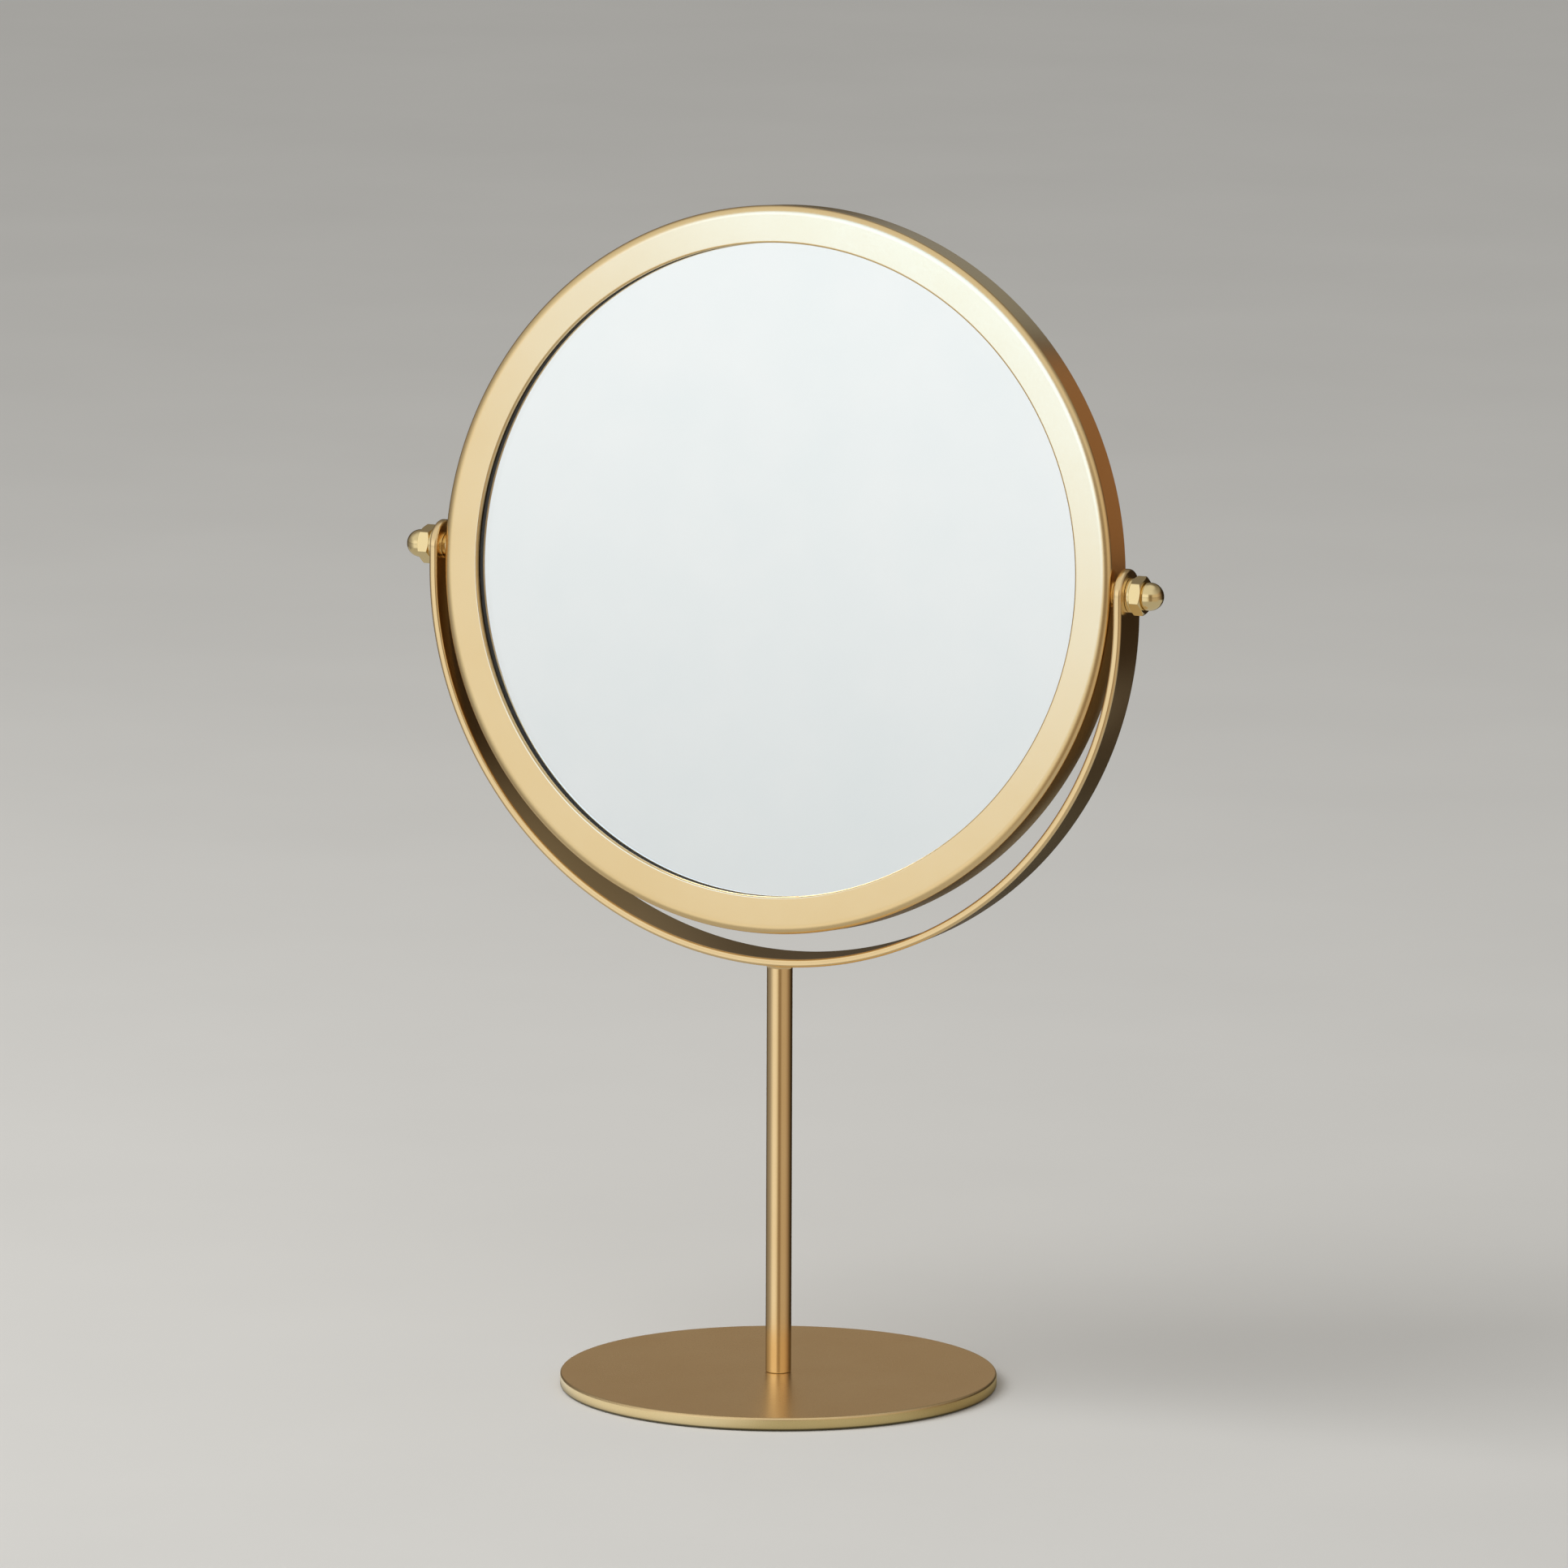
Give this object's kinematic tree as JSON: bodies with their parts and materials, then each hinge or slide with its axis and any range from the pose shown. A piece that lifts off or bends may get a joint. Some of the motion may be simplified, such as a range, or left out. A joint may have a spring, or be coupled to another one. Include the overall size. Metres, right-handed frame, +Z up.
{
  "type": "swivel table mirror",
  "caption": "Round swivel mirror in a flat gold frame, hung in a bent strap yoke on a thin post with a flat round base. The head tilts about its pivots.",
  "frame": {"origin": "centre of the base, on the surface that it stands on", "axes": "+Z up, the mirror's face looks towards -Y and leans back 6 degrees at rest, +X to the right of someone who stands in front and looks along +Y, along the pivot line"},
  "size_m": [0.1912, 0.102, 0.2768],
  "materials": {
    "satin_gold": "satin gold plate with fine brushing",
    "polished_gold": "polished gold plate",
    "clear_glass": "clear float glass",
    "silvering": "silvered back of the glass",
    "dark_pad": "matt non-slip pad",
    "foam": "closed-cell foam",
    "steel": "zinc-plated steel"
  },
  "bodies": {
    "stand": {"base_plate": "satin_gold", "base_pad": "dark_pad", "base_screw": "steel", "post": "satin_gold", "yoke": "satin_gold"},
    "mirror_head": {"front_frame": "satin_gold", "back_cover": "satin_gold", "mirror_glass": "clear_glass", "silver_coating": "silvering", "foam_pad": "foam", "pivot_boss_left": "steel", "pivot_stud_left": "steel", "pivot_spacer_left": "polished_gold", "pivot_washer_left": "polished_gold", "acorn_nut_left": "polished_gold", "pivot_boss_right": "steel", "pivot_stud_right": "steel", "pivot_spacer_right": "polished_gold", "pivot_washer_right": "polished_gold", "acorn_nut_right": "polished_gold"}
  },
  "joints": [
    {"name": "mirror_tilt", "type": "hinge", "parent": "stand", "child": "mirror_head", "pos_m": [0, 0, 0.19265], "axis": [1, 0, 0], "continuous": true}
  ]
}
